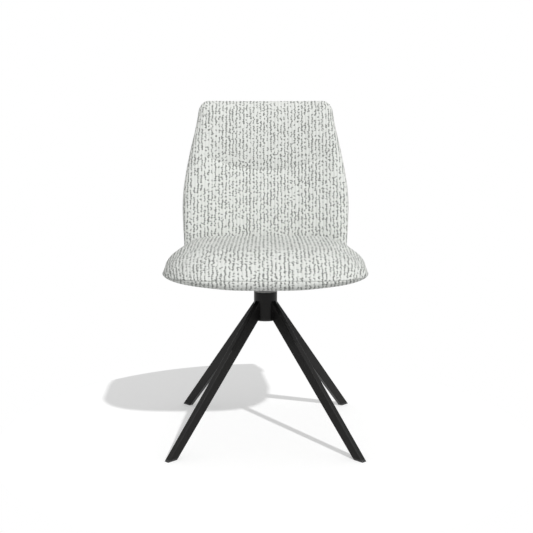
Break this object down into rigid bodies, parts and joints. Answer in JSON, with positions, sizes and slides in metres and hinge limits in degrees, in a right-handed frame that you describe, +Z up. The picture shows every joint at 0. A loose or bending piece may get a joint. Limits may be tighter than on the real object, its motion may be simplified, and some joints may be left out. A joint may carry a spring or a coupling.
{
  "type": "swivel dining chair",
  "caption": "Armless dining chair with a padded fabric seat and curved back that turn freely on a slim black steel base with splayed, tapering legs.",
  "frame": {"origin": "on the swivel's axis at floor level, which is the middle of the box round the chair seen from above", "axes": "+Z up, -Y the way a sitter faces, +X to the right for someone looking at the front; left in node names is -X"},
  "size_m": [0.5074, 0.6099, 0.8735],
  "materials": {
    "black_steel": "satin black powder coat",
    "zinc_steel": "bright zinc plated",
    "black_plastic": "matt moulded",
    "nylon": "natural nylon",
    "plywood": "unfinished birch plywood",
    "foam": "cut polyurethane foam",
    "upholstery": "ribbed off-white cloth with broken dark grey stripes",
    "dust_cloth": "black non-woven cloth"
  },
  "bodies": {
    "base": {"hub_tube": "black_steel", "hub_bottom_cap": "black_plastic", "upper_bush": "nylon", "lower_bush": "nylon", "thrust_washer": "nylon", "leg_front_left": "black_steel", "leg_front_right": "black_steel", "leg_rear_left": "black_steel", "leg_rear_right": "black_steel", "glide_front_left": "black_plastic", "glide_front_right": "black_plastic", "glide_rear_left": "black_plastic", "glide_rear_right": "black_plastic"},
    "seat": {"spindle": "zinc_steel", "swivel_flange": "zinc_steel", "retaining_washer": "zinc_steel", "retaining_bolt": "zinc_steel", "mounting_plate": "black_steel", "mounting_bolts": "zinc_steel", "mounting_washers": "zinc_steel", "tee_nuts": "zinc_steel", "seat_board": "plywood", "seat_foam": "foam", "seat_cover_top": "upholstery", "seat_cover_under": "upholstery", "dust_cover": "dust_cloth", "back_board": "plywood", "back_foam": "foam", "back_cover_front": "upholstery", "back_cover_rear": "upholstery", "back_bracket_left": "black_steel", "back_bracket_right": "black_steel", "bracket_screws": "zinc_steel"}
  },
  "joints": [
    {"name": "seat_swivel", "type": "hinge", "parent": "base", "child": "seat", "pos_m": [0, 0, 0.373], "axis": [0, 0, 1], "continuous": true}
  ]
}
